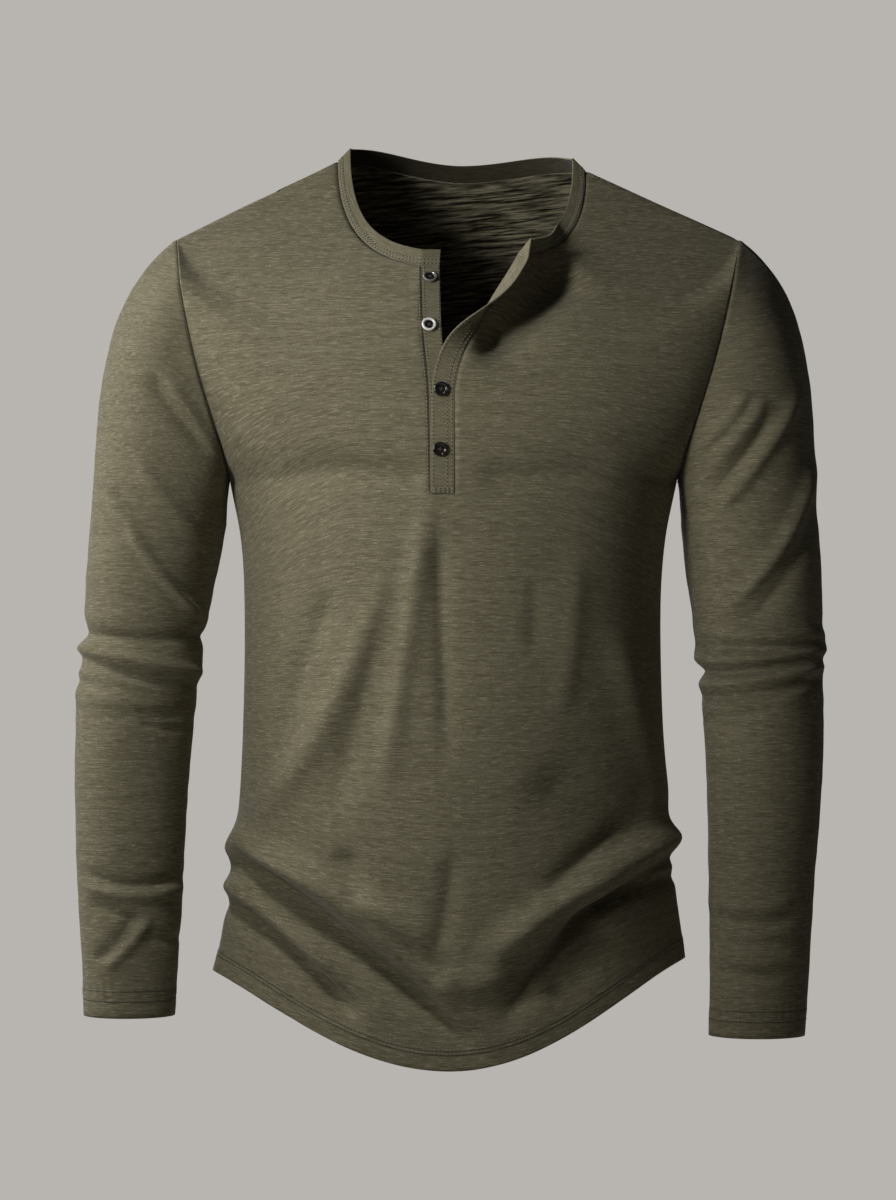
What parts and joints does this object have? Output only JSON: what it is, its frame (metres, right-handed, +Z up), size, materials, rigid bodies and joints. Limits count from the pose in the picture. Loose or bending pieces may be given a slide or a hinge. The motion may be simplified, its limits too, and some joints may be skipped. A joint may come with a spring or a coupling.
{
  "type": "henley shirt",
  "caption": "Long-sleeved henley shirt with a round neckband, a part-open buttoned placket and a curved shirt-tail hem, hollow as worn.",
  "frame": {"origin": "middle of the shoulders, level with the top of the shoulder seams, where the wearer's shoulders hold the shirt up", "axes": "+Z up, -Y the front of the shirt, +X towards the wearer's left"},
  "size_m": [0.5995, 0.2292, 0.7395],
  "materials": {
    "jersey": "matt slub jersey, olive",
    "jersey_strip": "matt slub jersey, olive, topstitched",
    "button_resin": "polished dark resin"
  },
  "bodies": {
    "root": {"front_panel": "jersey", "back_panel": "jersey", "sleeve_right": "jersey", "sleeve_left": "jersey", "neckband": "jersey_strip", "placket_under": "jersey_strip", "placket_over": "jersey_strip", "button_1": "button_resin", "button_2": "button_resin", "button_3": "button_resin", "button_4": "button_resin"}
  },
  "joints": []
}
